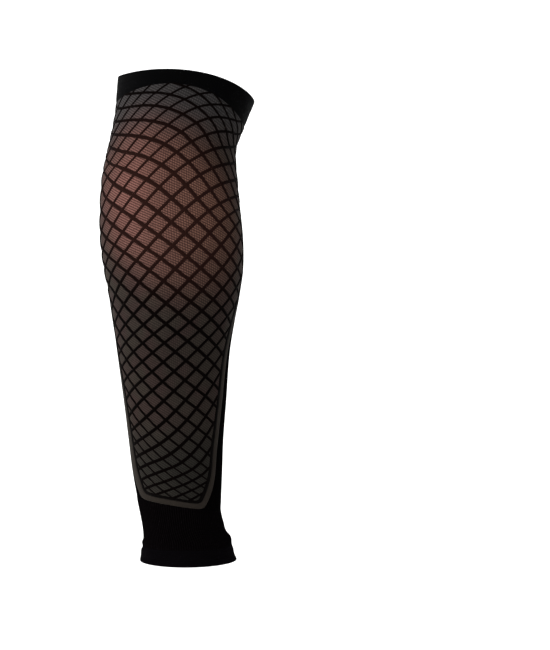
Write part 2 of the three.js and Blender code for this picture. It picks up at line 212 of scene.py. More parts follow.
# Rows of the net, counted down from the band. up is the height of the row's highest place, dip its
# drop a quarter turn from there and lean its drop towards the inner side, as shares of the net's
# length. crest, turn and crowd are in degrees.
NetRow = namedtuple("NetRow", "row up dip crest lean turn crowd")
NET_ROWS = [
    NetRow(-5, 1.085, 0.06, 0, 0, 0, 0),
    NetRow(-2, 0.992, 0.078, 0, 0, 0, 0),
    NetRow(0, 0.935, 0.082, 5, 0, 2.9, 0),
    NetRow(1, 0.902, 0.08, 11, 0.003, 5, 0),
    NetRow(2, 0.864, 0.082, 18, 0.01, 7.6, 1),
    NetRow(3, 0.82, 0.074, 22, 0.017, 7.6, 2),
    NetRow(4, 0.768, 0.066, 18, 0.009, 6.1, 4),
    NetRow(5, 0.708, 0.042, 11, -0.005, 4.2, 6.2),
    NetRow(6, 0.653, 0.025, 9, -0.013, 3, 7.8),
    NetRow(8, 0.548, 0.002, 8, -0.008, 3.8, 7.3),
    NetRow(10, 0.448, -0.01, 0, -0.01, 6.5, 5.5),
    NetRow(12, 0.36, -0.014, 0, -0.008, 4.4, 3),
    NetRow(14, 0.27, -0.024, 0, -0.004, 2, 0.5),
    NetRow(16, 0.181, -0.026, 0, 0.005, 4.6, 0),
    NetRow(18, 0.107, -0.022, 0, 0.02, 8.4, 0),
    NetRow(19, 0.08, -0.014, 0, 0.022, 9.5, 0),
    NetRow(20, 0.054, -0.014, 0, 0.018, 8.8, 0),
    NetRow(21, 0.031, -0.012, 0, 0.014, 7, 0),
    NetRow(23, -0.015, -0.012, 0, 0.013, 6, 0),
]

# Widths of the net's two families of lines, as shares of a diamond's: one falls towards the inner
# side and the other rises towards it.
LineWidth = namedtuple("LineWidth", "row falling rising")
LINE_WIDTHS = [
    LineWidth(-5, 0.2, 0.17),
    LineWidth(2, 0.22, 0.19),
    LineWidth(6, 0.23, 0.21),
    LineWidth(12, 0.22, 0.22),
    LineWidth(16, 0.19, 0.24),
    LineWidth(19, 0.17, 0.28),
    LineWidth(23, 0.17, 0.28),
]

# Edge of the framed panel: span is the angle from the panel's middle, rise the share of the way from
# the cuff to the top of the shin panel.
EdgePoint = namedtuple("EdgePoint", "span rise")
PANEL_EDGE = [
    EdgePoint(0, 0),
    EdgePoint(30, 0),
    EdgePoint(41.5, 0.002),
    EdgePoint(48, 0.008),
    EdgePoint(52, 0.02),
    EdgePoint(57.5, 0.04),
    EdgePoint(62.5, 0.065),
    EdgePoint(66, 0.09),
    EdgePoint(68, 0.12),
    EdgePoint(69, 0.15),
    EdgePoint(70.3, 0.18),
    EdgePoint(72.3, 0.21),
    EdgePoint(74, 0.26),
    EdgePoint(76.3, 0.32),
    EdgePoint(78.8, 0.38),
    EdgePoint(81.4, 0.43),
    EdgePoint(84, 0.47),
    EdgePoint(86.2, 0.5),
    EdgePoint(88.6, 0.53),
    EdgePoint(91.4, 0.56),
    EdgePoint(94, 0.585),
    EdgePoint(96.7, 0.61),
    EdgePoint(101, 0.67),
    EdgePoint(103, 0.755),
    EdgePoint(106, 0.828),
    EdgePoint(110, 0.88),
    EdgePoint(118, 0.94),
    EdgePoint(133, 0.978),
    EdgePoint(155, 0.996),
    EdgePoint(180, 1),
]

# Small folds where the cuff bunches above the hem. turn and half_turn are in degrees, up is the
# height above the hem's foot and half_up half the fold's height, rise how far it stands out.
Fold = namedtuple("Fold", "turn half_turn up half_up rise")
CUFF_FOLDS = [
    Fold(92, 34, 16.5, 2.4, 0.9),
    Fold(96, 42, 27, 6, 1.4),
    Fold(-88, 30, 13.6, 2.0, 1.0),
    Fold(178, 40, 17.5, 3.0, 0.7),
    Fold(-140, 28, 22.5, 2.6, 0.5),
]

# Where the calf stretches the knit most, and its brown cast shows
WARM_TURN = math.radians(-2)
WARM_HALF_TURN = math.radians(57)
WARM_LEVEL = 19
WARM_LEAN = 13  # how much lower the zone lies on the inner side
WARM_HALF_HEIGHT = 52

# Screen colours, 0 to 255. In the net's ground knit dark is the thread and light shows in its gaps.
# In the others dark is the yarn in painted shade and light its painted lit face: the plain knits and
# the cuff lay them over their stitches and ribs as painted shade, and the net's lines mix them at random.
Knit = namedtuple("Knit", "dark light")
REDDISH_GROUND = Knit((33, 27, 25), (54, 43, 40))
YELLOWISH_GROUND = Knit((32, 28, 25), (51, 45, 40))
FOOT_GROUND = Knit((26, 25, 23), (43, 40, 36))
GREY_GROUND = Knit((33, 32, 32), (56, 54, 54))
WARM_THREAD = (56, 37, 33)
WARM_GAP_OUTER = (127, 87, 79)
WARM_GAP_INNER = (121, 88, 72)
BLACK_LINE = Knit((2, 1, 1), (8, 5, 4))
WARM_LINE = Knit((23, 11, 9), (43, 24, 20))
OUTLINE_KNIT = Knit((3, 2, 2), (9, 7, 6))
STRIPE_KNIT = Knit((27, 24, 21), (46, 41, 37))
SHIN_KNIT = Knit((1, 1, 1), (4, 3, 3))
BAND_KNIT = Knit((1, 1, 1), (4, 4, 5))
CUFF_KNIT = Knit((1, 0.5, 0.5), (15, 12, 14))
HEM_KNIT = Knit((1, 1, 2), (11, 9, 11))

# Heights between which the ground knit turns grey near the band, and darker near the foot
GREY_FROM = 50
GREY_TO = 88
FOOT_FROM = -128
FOOT_TO = -170


# Leg surface

def through(rows, at):
    """A smooth curve through a table's rows. The first column is the key, and the others come back."""
    table = np.array(rows, float)
    keys = table[:, 0]
    values = table[:, 1:]
    slopes = np.diff(values, axis=0) / np.diff(keys)[:, None]
    tangents = np.vstack([slopes[:1], (slopes[:-1] + slopes[1:]) / 2, slopes[-1:]])
    at = np.clip(at, keys[0], keys[-1])
    i = np.clip(np.searchsorted(keys, at, side="right") - 1, 0, len(keys) - 2)
    span = (keys[i + 1] - keys[i])[..., None]
    p = (at - keys[i])[..., None] / span
    start = (2 * p**3 - 3 * p**2 + 1) * values[i] + (p**3 - 2 * p**2 + p) * span * tangents[i]
    end = (3 * p**2 - 2 * p**3) * values[i + 1] + (p**3 - p**2) * span * tangents[i + 1]
    return start + end


def section_sizes(section):
    width, depth = GIRTHS[section.follows]
    return (
        section.height,
        section.width * width / 2,
        section.depth * depth / 2,
        section.inward * CALF_WIDTH,
        section.shinward * CALF_DEPTH,
    )


SECTION_SIZES = [section_sizes(section) for section in SECTIONS]


def leg_point(turn, z):
    """Points of the leg; turn is in radians from straight behind, positive towards the inner side."""
    sizes = through(SECTION_SIZES, (z - LEG_FOOT) / SLEEVE_LENGTH)
    half_width, half_depth, x, y = np.moveaxis(sizes, -1, 0)
    side = np.sin(turn) * (1 + SHIN_TAPER * np.cos(turn))
    return np.stack([x + half_width * side, y - half_depth * np.cos(turn), z], -1)


def on_leg(turn, z, out):
    """Points that stand out of the leg's surface by out, square to it."""
    turn, z, out = np.broadcast_arrays(
        np.asarray(turn, float), np.asarray(z, float), np.asarray(out, float)
    )
    across = leg_point(turn + SMALL_TURN, z) - leg_point(turn - SMALL_TURN, z)
    up = leg_point(turn, z + SMALL_RISE) - leg_point(turn, z - SMALL_RISE)
    normal = np.cross(across, up)
    normal /= np.linalg.norm(normal, axis=-1, keepdims=True)
    return leg_point(turn, z) + out[..., None] * normal


def mm_per_radian(turn, z):
    """Length round the leg for a small turn, per radian."""
    gap = leg_point(turn + SMALL_TURN, z) - leg_point(turn - SMALL_TURN, z)
    return np.linalg.norm(gap, axis=-1) / (2 * SMALL_TURN)


def wrapped(turn, middle=0.0):
    """The same angle, within half a turn of middle."""
    return middle + (turn - middle + math.pi) % (2 * math.pi) - math.pi


def smooth_step(low, high, value):
    p = np.clip((value - low) / (high - low), 0, 1)
    return p * p * (3 - 2 * p)


# Heights of the zones' edges round the leg

def rim_curve(turn):
    return LEG_TOP - RIM_LEAN * np.sin(turn) - RIM_DIP * np.sin(turn) ** 2


def rim_edge(turn):
    corner = RIM_CORNER * np.maximum(0, -np.sin(turn)) ** 8
    return rim_curve(turn) + corner + RIM_SHOULDER * (np.cos(turn) * (1 + np.sin(turn))) ** 2


def band_edge(turn):
    drop = BAND_MIDDLE + BAND_LEAN * np.sin(turn) + (BAND_SIDE - BAND_MIDDLE) * np.sin(turn) ** 2
    return rim_curve(turn) - drop


def foot_edge(turn):
    return LEG_FOOT - HEM_SAG * np.cos(turn) ** 2


def hem_edge(turn):
    return np.full_like(turn, LEG_FOOT + HEM_HEIGHT)


def cuff_edge(turn):
    return LEG_FOOT + CUFF_HEIGHT - CUFF_LEAN * np.sin(turn)


# Panel edge and the trim beside it

def curve_points(points, count):
    """Evenly spaced points on a centripetal curve through the given ones."""
    points = np.array(points, float)
    points = np.vstack([2 * points[0] - points[1], points, 2 * points[-1] - points[-2]])
    knots = np.linalg.norm(np.diff(points, axis=0), axis=1) ** 0.5
    p = np.linspace(0, 1, CURVE_STEPS, endpoint=False)[:, None]
    fine = []
    for i in range(1, len(points) - 2):
        before, span, after = knots[i - 1 : i + 2]
        a, b, c, d = points[i - 1 : i + 3]
        leave = span * ((b - a) / before - (c - a) / (before + span) + (c - b) / span)
        reach = span * ((c - b) / span - (d - b) / (span + after) + (d - c) / after)
        bend = 3 * (c - b) - 2 * leave - reach
        twist = 2 * (b - c) + leave + reach
        fine.append(b + leave * p + bend * p**2 + twist * p**3)
    fine = np.vstack(fine + [points[-2:-1]])
    length = np.concatenate([[0], np.cumsum(np.linalg.norm(np.diff(fine, axis=0), axis=1))])
    at = np.linspace(0, length[-1], count + 1)
    return np.stack([np.interp(at, length, fine[:, k]) for k in range(fine.shape[1])], -1)


Edge = namedtuple("Edge", "span turn z")


def panel_edge(steps):
    """The stripe's outer edge, once round, from the middle of its foot."""
    steepness = 200  # spreads the points evenly over the foot and the long sides
    half = curve_points([(point.span, steepness * point.rise) for point in PANEL_EDGE], steps)
    back = half[-2:0:-1] * (-1, 1)
    span, rise = np.vstack([half, back]).T
    turn = np.radians(PANEL_MIDDLE + span)
    start = cuff_edge(turn) + SEAM_GAP
    return Edge(np.radians(span), turn, start + rise / steepness * (SHIN_PANEL_TOP - start))


def moved(edge, side, foot, skew=0.0, squareness=1):
    """The edge moved into the framed panel: by foot under the net, by side beside it and over the shin."""
    step = side * (1 - skew * np.sin(edge.span))
    sideways = step * np.sin(edge.span) ** squareness / mm_per_radian(edge.turn, edge.z)
    upward = foot + (side - foot) * np.maximum(0, -np.cos(edge.span))
    return Edge(edge.span - sideways, edge.turn - sideways, edge.z + upward)


stripe_outer = panel_edge(EDGE_STEPS)
stripe_inner = moved(stripe_outer, STRIPE_SIDE, STRIPE_FOOT, STRIPE_SKEW, STRIPE_SQUARENESS)
outline_outer = moved(stripe_inner, SEAM_GAP, SEAM_GAP)
outline_inner = moved(outline_outer, OUTLINE_SIDE, OUTLINE_FOOT)


def edge_distance(edge, turn, z):
    """Millimetres from the edge, over the leg's surface: positive inside the framed panel."""
    skip_beyond = 60  # a copy of the edge further round the leg than this isn't measured
    turn = wrapped(turn, math.radians(PANEL_MIDDLE))
    scale = mm_per_radian(turn, z)
    nearest = np.full(turn.shape, np.inf)
    crossings = np.zeros(turn.shape, int)
    ends = zip(edge.turn, edge.z, np.roll(edge.turn, -1), np.roll(edge.z, -1))
    for turn_a, z_a, turn_b, z_b in ends:
        if abs(turn_b - turn_a) > math.pi:
            turn_b += math.copysign(2 * math.pi, turn_a - turn_b)
        for whole in (0, 2 * math.pi, -2 * math.pi):
            ax = (turn_a + whole - turn) * scale
            bx = (turn_b + whole - turn) * scale
            if whole and np.min(np.abs(ax)) > skip_beyond:
                continue
            ay = z_a - z
            by = z_b - z
            length = (bx - ax) ** 2 + (by - ay) ** 2
            p = np.clip(-(ax * (bx - ax) + ay * (by - ay)) / np.maximum(length, 1e-9), 0, 1)
            nearest = np.minimum(nearest, (ax + p * (bx - ax)) ** 2 + (ay + p * (by - ay)) ** 2)
            spans = (ax <= 0) != (bx <= 0)
            level = ay - ax * (by - ay) / np.where(spans, bx - ax, 1)
            crossings += spans & (level < 0)
    return np.where(crossings % 2 == 1, 1, -1) * np.sqrt(nearest)


# Meshes: a Shape holds its points, the turn and height of each point, and its faces.
Shape = namedtuple("Shape", "points turn z faces")


def joined(shapes):
    """Several shapes as one."""
    faces = []
    start = 0
    for shape in shapes:
        faces += [[corner + start for corner in face] for face in shape.faces]
        start += len(shape.points)
    return Shape(
        np.concatenate([shape.points for shape in shapes]),
        np.concatenate([shape.turn for shape in shapes]),
        np.concatenate([shape.z for shape in shapes]),
        faces,
    )


def swept(turn, z, out, closed=True):
    """A tube of loops, one for each row of turn, z and out. A closed one joins its last to its first."""
    rows, corners = turn.shape
    at = np.arange(rows * corners).reshape(rows, corners)
    last = rows if closed else rows - 1
    here = at[:last]
    ahead = np.roll(at, -1, axis=0)[:last]
    quads = np.stack([here, ahead, np.roll(ahead, -1, axis=1), np.roll(here, -1, axis=1)], -1)
    faces = quads.reshape(-1, 4).tolist()
    if not closed:
        faces += [at[0].tolist(), at[-1, ::-1].tolist()]
    return Shape(on_leg(turn, z, out).reshape(-1, 3), turn.ravel(), z.ravel(), faces)


def ring_section(wall, rows, low_wall=None):
    """A ring's section, once round.

    along is the share of the way from its lower edge to its upper one, lift moves a point up, out is
    its height over the leg, and share tells how much it belongs to the outer face.
    """
    low_wall = low_wall or wall
    rolls = np.linspace(0, math.pi, ROLL_STEPS + 1)[1:-1]
    lifts = np.sin(rolls) ** FOLD_SQUARENESS
    shares = 0.5 + 0.5 * np.sign(np.cos(rolls)) * np.abs(np.cos(rolls)) ** FOLD_SQUARENESS
    outer = [(along, 0, wall, 1) for along in np.linspace(0, 1, rows)]
    top = [(1, wall / 2 * lift, wall * share, share) for lift, share in zip(lifts, shares)]
    inner = [(along, 0, 0, 0) for along in np.linspace(1, 0, LINING_ROWS)]
    low_roll = zip(-low_wall / 2 * lifts, 1 - shares)
    foot = [(0, lift, low_wall * share, share) for lift, share in low_roll]
    along, lift, out, share = np.array(outer + top + inner + foot).T
    if low_wall != wall:
        out = np.where(share == 1, wall - (wall - low_wall) * np.exp(-along * 9), out)
    return along, lift, out, share


def raised(edge, by):
    """The same edge, higher by this much."""
    return lambda turn: edge(turn) + by


def ring(low_edge, high_edge, section, columns, relief):
    """A knitted ring between two edges, with relief on its outer face."""
    along, lift, out, share = section
    around = np.linspace(-math.pi, math.pi, columns, endpoint=False)
    turn = np.repeat(around[:, None], len(along), 1)
    low = low_edge(turn)
    high = high_edge(turn)
    z = low + along * (high - low) + lift
    return swept(turn, z, out + share * relief(turn, z, along))


def sheet(heights, keep, wall):
    """A wall over the part of the leg where keep(turn, z) is above zero."""
    around = np.linspace(-math.pi, math.pi, SHEET_COLUMNS, endpoint=False)
    turn, z = np.meshgrid(around, heights)
    value = keep(turn, z).ravel()
    at = np.arange(value.size).reshape(turn.shape)
    beside = np.roll(at, -1, axis=1)
    quads = np.stack([at[:-1], beside[:-1], beside[1:], at[1:]], -1).reshape(-1, 4)
    turn, z, faces = cut_to_value(quads, value, list(turn.ravel()), list(z.ravel()))
    return walled(*used_points(turn, z, faces), wall)


def cut_to_value(quads, value, turn, z):
    """The quads where value is above zero. Those that lie across its edge are cut there."""
    inside = value > 0
    count = inside[quads].sum(1)
    faces = quads[count == 4].tolist()
    cuts = {}

    def cut(a, b):
        a, b = sorted((a, b))
        if (a, b) not in cuts:
            p = float(np.clip(value[a] / (value[a] - value[b]), 0.02, 0.98))
            cuts[a, b] = len(turn)
            turn.append(turn[a] + p * wrapped(turn[b] - turn[a]))
            z.append(z[a] + p * (z[b] - z[a]))
        return cuts[a, b]

    for quad in quads[(count > 0) & (count < 4)].tolist():
        face = []
        for a, b in zip(quad, quad[1:] + quad[:1]):
            if inside[a]:
                face.append(a)
            if inside[a] != inside[b]:
                face.append(cut(a, b))
        faces.append(face)
    return turn, z, faces


def used_points(turn, z, faces):
    """Only the points that the faces use, and the faces with their corners counted anew."""
    used, corners = np.unique(np.concatenate([np.array(face) for face in faces]), return_inverse=True)
    renumbered = []
    start = 0
    for face in faces:
        renumbered.append(corners[start : start + len(face)].tolist())
        start += len(face)
    return np.array(turn)[used], np.array(z)[used], renumbered


def walled(turn, z, faces, wall):
    """An outer face, the same face on the leg and the edges between them."""
    count = len(turn)
    edges = {(a, b) for face in faces for a, b in zip(face, face[1:] + face[:1])}
    inner = [[corner + count for corner in reversed(face)] for face in faces]
    sides = [[b, a, a + count, b + count] for a, b in edges if (b, a) not in edges]
    points = np.concatenate([on_leg(turn, z, wall), on_leg(turn, z, 0)])
    return Shape(points, np.tile(turn, 2), np.tile(z, 2), faces + inner + sides)


def trim(outer, inner, profile):
    """A strip between two edges. profile lists (share of the way across, height over the leg)."""
    across, out = np.array(profile).T
    step = wrapped(inner.turn - outer.turn)
    turn = outer.turn[:, None] + across * step[:, None]
    z = outer.z[:, None] + across * (inner.z - outer.z)[:, None]
    return swept(turn, z, np.broadcast_to(out, turn.shape))


# Zones

def band_relief(turn, z, along):
    waves = 0.16 * np.sin(5 * turn + 0.7) * np.sin(math.pi * along)
    waves = waves + 0.1 * np.sin(11 * turn + 3 * along)
    fold = BAND_FOLD_DEPTH * np.exp(-(((along - BAND_FOLD_PLACE) / BAND_FOLD_HALF) ** 2))
    return waves * np.sin(math.pi * np.clip(along, 0, 1)) - fold


def cuff_relief(turn, z, along):
    ends = np.clip(along * 9, 0, 1) * np.clip((1 - along) * 14, 0, 1)
    relief = RIB_RISE * np.cos(RIBS * turn) * ends
    for fold in CUFF_FOLDS:
        sideways = wrapped(turn - math.radians(fold.turn)) / math.radians(fold.half_turn)
        upward = (z - LEG_FOOT - fold.up - 1.2 * sideways) / fold.half_up
        relief = relief + fold.rise * np.exp(-(sideways**2) * 1.4 - upward**2)
    return relief


def hem_relief(turn, z, along):
    up = along * HEM_HEIGHT
    lines = sum(np.exp(-(((up - level) / HEM_LINE_HALF) ** 2)) for level in HEM_LINES)
    tuck = HEM_TUCK * smooth_step(0.8, 1, along)
    waves = 0.22 * np.sin(3 * turn + 0.4) + 0.12 * np.sin(7 * turn)
    flare = HEM_FLARE * (1 - smooth_step(0, 0.45, along))
    return flare - tuck - HEM_LINE_DEPTH * lines + waves * np.sin(math.pi * along)


def band_shape():
    low = raised(band_edge, BAND_WALL / 4)
    high = raised(rim_edge, -BAND_WALL / 2)
    section = ring_section(BAND_WALL, BAND_ROWS, BAND_FOOT_WALL)
    return ring(low, high, section, BAND_COLUMNS, band_relief)


def cuff_shape():
    low = raised(hem_edge, CUFF_WALL / 2)
    high = raised(cuff_edge, SEAM_GAP - SEAM_SHOWN - CUFF_WALL / 2)
    section = ring_section(CUFF_WALL, CUFF_ROWS)
    return ring(low, high, section, RIBS * COLUMNS_PER_RIB, cuff_relief)


def hem_shape():
    low = raised(foot_edge, HEM_WALL / 2)
    high = raised(hem_edge, -HEM_WALL / 4)
    return ring(low, high, ring_section(HEM_WALL, HEM_ROWS), HEM_COLUMNS, hem_relief)


def in_net(turn, z):
    """How far inside the net panel a place lies, in millimetres."""
    beside = edge_distance(outline_inner, turn, z) + SEAM_TUCK
    return np.minimum(beside, band_edge(turn) + BAND_TUCK - z)


def ground_shape():
    heights = np.linspace(NET_START - SHEET_MARGIN, LEG_TOP, GROUND_ROWS)
    return sheet(heights, in_net, GROUND_WALL)


def on_shin(turn, z):
    """How far inside the shin panel a place lies, in millimetres."""
    beside = SEAM_TUCK - edge_distance(stripe_outer, turn, z)
    return np.minimum(beside, z - cuff_edge(turn) - SEAM_GAP)


def shin_shape():
    low = NET_START - CUFF_LEAN - SHEET_MARGIN
    heights = np.linspace(low, SHIN_PANEL_TOP + SHEET_MARGIN, SHIN_ROWS)
    return sheet(heights, on_shin, SHIN_WALL)


def crowned(wall, rounding, sharpness, columns):
    """The profile of a strip whose edges are lower than its middle by rounding."""
    crown = [(x, wall - rounding * abs(2 * x - 1) ** sharpness) for x in np.linspace(0, 1, columns)]
    return [(0, 0)] + crown + [(1, 0)]


def stripe_shape():
    profile = crowned(STRIPE_WALL, STRIPE_ROUNDING, sharpness=8, columns=STRIPE_COLUMNS)
    return trim(stripe_outer, stripe_inner, profile)


def outline_shape():
    profile = crowned(OUTLINE_WALL, OUTLINE_ROUNDING, sharpness=3, columns=OUTLINE_COLUMNS)
    return trim(stripe_inner, outline_inner, profile)


def net_place(column, row):
    """Turn and height of a place on the net, in crossings."""
    up, dip, crest, lean, middle, crowd = np.moveaxis(through(NET_ROWS, row), -1, 0)
    even = 2 * math.pi * column / NET_COLUMNS
    turn = even + np.radians(middle - crowd * np.sin(even))
    height = up - dip * np.sin(turn - np.radians(crest)) ** 2 - lean * np.sin(turn)
    return turn, NET_START + height * NET_LENGTH


# A line's section: across is the share of its half width, high the share of its rise
LINE_SECTION = [(-1, -0.5), (-0.88, 0.42), (-0.5, 0.88), (0, 1), (0.5, 0.88), (0.88, 0.42), (1, -0.5)]


def shown_stretches(rows, depth):
    """The stretches of a line where depth is above zero, with their ends where it is zero."""
    shown = np.concatenate([[False], depth > 0, [False]])
    ends = np.flatnonzero(np.diff(shown.astype(int)))
    for start, end in ends.reshape(-1, 2):
        stretch = list(rows[start:end])
        if start > 0:
            stretch.insert(0, np.interp(0, depth[[start - 1, start]], rows[[start - 1, start]]))
        if end < len(rows):
            stretch.append(np.interp(0, depth[[end, end - 1]], rows[[end, end - 1]]))
        if len(stretch) > 2:
            yield np.array(stretch)


def net_line(first, fall, rise, rows):
    """One line of the net, or the stretches of it that lie in the panel."""
    depth = in_net(*net_place(first + fall * rows, rows)) + LINE_TUCK
    across, high = np.array(LINE_SECTION).T
    for stretch in shown_stretches(rows, depth):
        inside = in_net(*net_place(first + fall * stretch, stretch))
        taper = smooth_step(-LINE_TUCK, LINE_TAPER, inside)[:, None]
        row = stretch[:, None]
        falling, rising = np.moveaxis(through(LINE_WIDTHS, row), -1, 0)
        column = first + fall * row + across * (falling if fall > 0 else rising) / 2
        turn, z = net_place(column, np.broadcast_to(row, column.shape))
        height = rise * (LINE_END_HEIGHT + (1 - LINE_END_HEIGHT) * taper)
        yield swept(turn, z, GROUND_WALL + high * height, closed=False)


def lines_shape():
    first_row = NET_ROWS[0].row
    last_row = NET_ROWS[-1].row
    rows = np.linspace(first_row, last_row, LINE_STEPS * (last_row - first_row) + 1)
    stretches = []
    for first in range(NET_COLUMNS):
        stretches += net_line(first, 1, LINE_RISE, rows)
        stretches += net_line(first, -1, RISING_HEIGHT * LINE_RISE, rows)
    return joined(stretches)


# Pieces

def warmth(turn, z):
    """1 where the stretched knit shows its brown cast, 0 where it doesn't."""
    across = wrapped(turn - WARM_TURN) / WARM_HALF_TURN
    up = (z - WARM_LEVEL + WARM_LEAN * np.sin(turn)) / WARM_HALF_HEIGHT
    reach = across**2 + up**2
    return np.exp(-math.log(2) * reach**2)


def whole_numbers(items, name):
    values = np.empty(len(items), int)
    items.foreach_get(name, values)
    return values


def add_stitch_map(mesh, turn, z):
    """A UV map in stitches: wales round the leg, and courses up it that fall as they go round."""
    corner = whole_numbers(mesh.loops, "vertex_index")
    start = whole_numbers(mesh.polygons, "loop_start")
    total = whole_numbers(mesh.polygons, "loop_total")
    angle = wrapped(turn)[corner]
    highest = np.repeat(np.maximum.reduceat(angle, start), total)
    angle = np.where(highest - angle > math.pi, angle + 2 * math.pi, angle)
    share = angle / (2 * math.pi)
    across = share * WALES
    up = (z[corner] - LEG_FOOT) / COURSE + share * COURSE_DROP
    layer = mesh.uv_layers.new(name="stitches")
    layer.data.foreach_set("uv", np.stack([across, up], -1).ravel().astype(np.float32))


def add_share(mesh, name, values):
    layer = mesh.attributes.new(name, "FLOAT", "POINT")
    layer.data.foreach_set("value", values.astype(np.float32))


def piece(name, node, shape, material):
    mesh = bpy.data.meshes.new(name)
    mesh.from_pydata((shape.points * MM).tolist(), [], shape.faces)
    add_stitch_map(mesh, shape.turn, shape.z)
    add_share(mesh, "warm", warmth(shape.turn, shape.z))
    add_share(mesh, "grey", smooth_step(GREY_FROM, GREY_TO, shape.z))
    add_share(mesh, "foot", smooth_step(FOOT_FROM, FOOT_TO, shape.z))
    mesh.shade_smooth()
    mesh.set_sharp_from_angle(angle=SHARP_ANGLE)
    mesh.materials.append(material)
    made = bpy.data.objects.new(name, mesh)
    bpy.context.scene.collection.objects.link(made)
    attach(made, "root")
    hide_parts(node)
    return made


# Materials

class Tree:
    """A material's nodes. Values given to a node are numbers, colours or other nodes' outputs."""

    def __init__(self, name):
        self.material = bpy.data.materials.new(name)
        self.material.use_nodes = True
        self.tree = self.material.node_tree
        self.shader = self.tree.nodes["Principled BSDF"]

    def node(self, kind, values=(), **settings):
        made = self.tree.nodes.new(kind)
        for setting, value in settings.items():
            setattr(made, setting, value)
        for socket, value in dict(values).items():
            self.put(made, socket, value)
        return made

    def put(self, node, socket, value):
        if isinstance(value, bpy.types.NodeSocket):
            self.tree.links.new(value, node.inputs[socket])
        else:
            node.inputs[socket].default_value = value

    def math(self, operation, a, b=0.0, c=0.0):
        return self.node("ShaderNodeMath", {0: a, 1: b, 2: c}, operation=operation).outputs[0]

    def clamped(self, value):
        """The value, held between 0 and 1."""
        return self.math("MINIMUM", self.math("MAXIMUM", value, 0.0), 1.0)

    def scaled(self, value, factor, plus):
        """value * factor + plus"""
        return self.math("MULTIPLY_ADD", value, factor, plus)

    def mix(self, share, a, b):
        made = self.node("ShaderNodeMix", {0: share, 6: a, 7: b}, data_type="RGBA")
        return made.outputs[2]

    def share(self, name):
        """An attribute of the mesh that runs from 0 to 1."""
        return self.node("ShaderNodeAttribute", attribute_name=name).outputs["Fac"]

    def stitches(self):
        """The stitch map, and its wales and courses by themselves."""
        uv = self.node("ShaderNodeUVMap", uv_map="stitches").outputs[0]
        parts = self.node("ShaderNodeSeparateXYZ", {0: uv})
        return uv, parts.outputs[0], parts.outputs[1]

    def wave(self, at, count=1.0):
        """Runs from 0 to 1 and back, count times a stitch."""
        angle = self.math("MULTIPLY", at, 2 * math.pi * count)
        return self.scaled(self.math("COSINE", angle), 0.5, 0.5)

    def noise(self, scale, detail=2.0, vector=None):
        place = vector or self.node("ShaderNodeTexCoord").outputs["Object"]
        values = {"Vector": place, "Scale": scale, "Detail": detail}
        return self.node("ShaderNodeTexNoise", values).outputs[0]

    def finish(self, colour, height, depth, roughness, sheen, sheen_tint, specular=0.02):
        bump = self.node("ShaderNodeBump", {"Height": height, "Distance": depth * MM, "Strength": 1.0})
        self.put(self.shader, "Base Color", colour)
        self.put(self.shader, "Normal", bump.outputs[0])
        self.put(self.shader, "Roughness", roughness)
        self.put(self.shader, "Specular IOR Level", specular)
        self.put(self.shader, "Sheen Weight", sheen)
        self.put(self.shader, "Sheen Roughness", 0.3)
        self.put(self.shader, "Sheen Tint", sheen_tint)
        return self.material


def rgb(red, green, blue):
    """An 8-bit screen colour as the linear colour that Blender takes."""
    def linear(value):
        share = value / 255
        return share / 12.92 if share <= 0.04045 else ((share + 0.055) / 1.055) ** 2.4

    return (linear(red), linear(green), linear(blue), 1)


def ground_knit():
    """Charcoal knit whose gaps turn brown where the calf stretches it."""
    t = Tree("net_ground")
    uv, across, up = t.stitches()
    patches = t.noise(scale=26, detail=2)
    course = t.wave(up)
    wale = t.wave(across)

    # The gaps are dots on the inner side, and lines along the courses on the outer side
    dots = t.math("MULTIPLY", course, t.scaled(wale, 0.75, 0.25))
    lines = t.scaled(wale, 0.12, t.math("MULTIPLY", course, 0.88))
    dotted = t.clamped(t.scaled(across, 0.08, t.scaled(patches, 1.2, 0.35)))
    open_share = t.node("ShaderNodeMix", {0: dotted, 2: lines, 3: dots}).outputs[0]
    grain = t.noise(scale=1.5, detail=2, vector=uv)
    open_share = t.math("MULTIPLY", open_share, t.scaled(grain, 2.2, -0.1))

    # The yarn's hue wavers from place to place, and is another near the foot and near the band
    hue = t.clamped(t.scaled(t.noise(scale=58, detail=1), 5.0, -2.0))
    thread = t.mix(hue, rgb(*REDDISH_GROUND.dark), rgb(*YELLOWISH_GROUND.dark))
    gap = t.mix(hue, rgb(*REDDISH_GROUND.light), rgb(*YELLOWISH_GROUND.light))
    for name, knit in (("foot", FOOT_GROUND), ("grey", GREY_GROUND)):
        thread = t.mix(t.share(name), thread, rgb(*knit.dark))
        gap = t.mix(t.share(name), gap, rgb(*knit.light))

    # The stretched knit is brown, and a little yellower on the inner side
    warm = t.math("MULTIPLY", t.share("warm"), t.scaled(patches, 0.8, 0.58))
    yellower = t.clamped(t.scaled(across, 0.03, 0.4))
    thread = t.mix(warm, thread, rgb(*WARM_THREAD))
    gap = t.mix(warm, gap, t.mix(yellower, rgb(*WARM_GAP_OUTER), rgb(*WARM_GAP_INNER)))
    height = t.math("MULTIPLY", t.math("ADD", course, wale), 0.5)
    colour = t.mix(open_share, thread, gap)
    tint = (1, 0.98, 0.96, 1)
    return t.finish(colour, height, depth=0.16, roughness=0.9, sheen=0.05, sheen_tint=tint)


